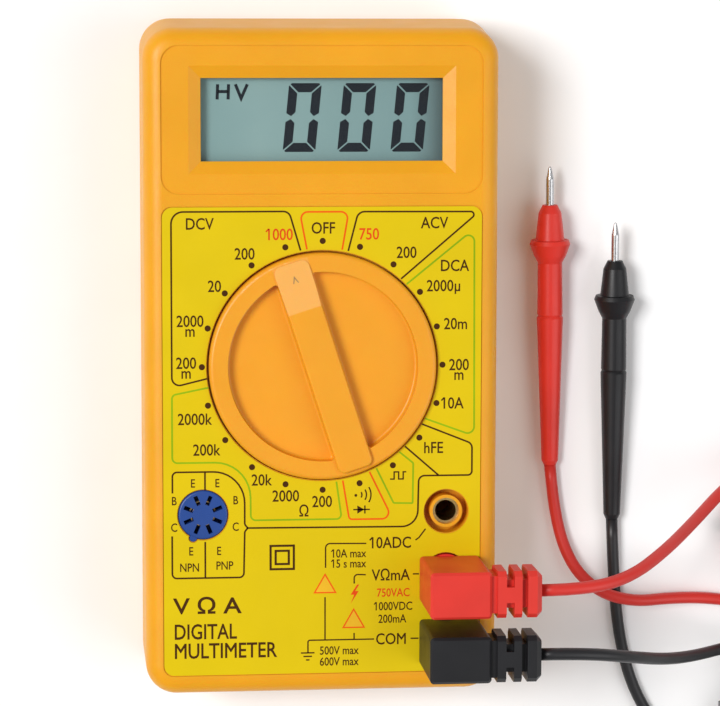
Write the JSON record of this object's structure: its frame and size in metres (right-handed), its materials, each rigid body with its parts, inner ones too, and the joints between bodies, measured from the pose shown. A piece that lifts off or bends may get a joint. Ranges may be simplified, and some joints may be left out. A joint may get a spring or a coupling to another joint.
{
  "type": "digital multimeter",
  "caption": "Pocket digital multimeter lying on its back, with a rotary range knob, plug-in test leads and needle probes",
  "frame": {"origin": "middle of the case in plan, on the surface that the meter's back lies on", "axes": "+X to the right of the face, +Y towards the display end, +Z out of the face"},
  "size_m": [0.1569, 0.1606, 0.044],
  "materials": {
    "case_orange": "moulded, fine texture",
    "knob_orange": "moulded, satin",
    "label_yellow": "printed film",
    "window_clear": "clear acrylic",
    "lcd_grey": "grey-green display glass",
    "black_plastic": "moulded, satin",
    "red_plastic": "moulded, semi-gloss",
    "blue_plastic": "moulded, semi-gloss",
    "pink_rubber": "soft, banded",
    "board_green": "lacquered laminate",
    "gold_track": "plated",
    "resistor_beige": "lacquered",
    "capacitor_red": "dipped",
    "steel_plain": "nickel plated",
    "fuse_glass": "clear tube",
    "brass_plain": "turned, plated",
    "ceramic_white": "silvered",
    "battery_grey": "painted can",
    "foam_grey": "foam",
    "lead_red": "flexible sleeve",
    "lead_black": "flexible sleeve",
    "tie_dark": "flat hook-and-loop tie"
  },
  "bodies": {
    "meter": {"battery_body": "battery_grey", "battery_pad": "foam_grey", "battery_snap": "black_plastic", "battery_terminals": "steel_plain", "battery_wire_black": "lead_black", "battery_wire_red": "lead_red", "black_coil_ties": "tie_dark", "black_cord_coil": "lead_black", "black_cord_plug_run": "lead_black", "black_cord_probe_run": "lead_black", "black_probe_barrel": "black_plastic", "black_probe_handle": "black_plastic", "black_probe_tip": "steel_plain", "board_screws": "steel_plain", "buzzer_ceramic": "ceramic_white", "buzzer_disc": "brass_plain", "buzzer_wires": "lead_black", "case_screws": "steel_plain", "chip_blob": "black_plastic", "circuit_board": "board_green", "display_window": "window_clear", "electrolytic_capacitor": "black_plastic", "face_label": "label_yellow", "film_capacitors": "capacitor_red", "front_case": "case_orange", "fuse_caps": "steel_plain", "fuse_clips": "steel_plain", "fuse_tube": "fuse_glass", "jack_common": "brass_plain", "jack_ten_amp": "brass_plain", "jack_volt_ohm": "brass_plain", "lcd_frame": "black_plastic", "lcd_glass": "lcd_grey", "rear_case": "case_orange", "red_coil_ties": "tie_dark", "red_cord_coil": "lead_red", "red_cord_plug_run": "lead_red", "red_cord_probe_run": "lead_red", "red_probe_barrel": "red_plastic", "red_probe_handle": "red_plastic", "red_probe_tip": "steel_plain", "resistors": "resistor_beige", "shunt_wire": "gold_track", "switch_tracks": "gold_track", "transistor_contacts": "gold_track", "transistor_socket": "blue_plastic", "trimmer_body": "blue_plastic", "zebra_strips": "pink_rubber"},
    "selector": {"selector_knob": "knob_orange", "knob_wipers": "gold_track", "detent_balls": "steel_plain", "detent_springs": "steel_plain"},
    "trimmer": {"trimmer_rotor": "steel_plain"},
    "red_plug": {"red_plug_body": "red_plastic", "red_plug_pin": "brass_plain", "red_plug_strain_relief": "red_plastic"},
    "black_plug": {"black_plug_body": "black_plastic", "black_plug_pin": "brass_plain", "black_plug_strain_relief": "black_plastic"}
  },
  "joints": [
    {"name": "selector_turn", "type": "hinge", "parent": "meter", "child": "selector", "pos_m": [0, -0.001, 0.02], "axis": [0, 0, 1], "continuous": true},
    {"name": "trimmer_turn", "type": "hinge", "parent": "meter", "child": "trimmer", "pos_m": [0.022, 0.046, 0.012], "axis": [0, 0, 1], "range_deg": [-130, 130]},
    {"name": "red_plug_pull", "type": "slide", "parent": "meter", "child": "red_plug", "axis": [0, 0, 1], "range_m": [0, 0.03], "deforming": ["red_cord_plug_run"]},
    {"name": "black_plug_pull", "type": "slide", "parent": "meter", "child": "black_plug", "axis": [0, 0, 1], "range_m": [0, 0.03], "deforming": ["black_cord_plug_run"]}
  ]
}
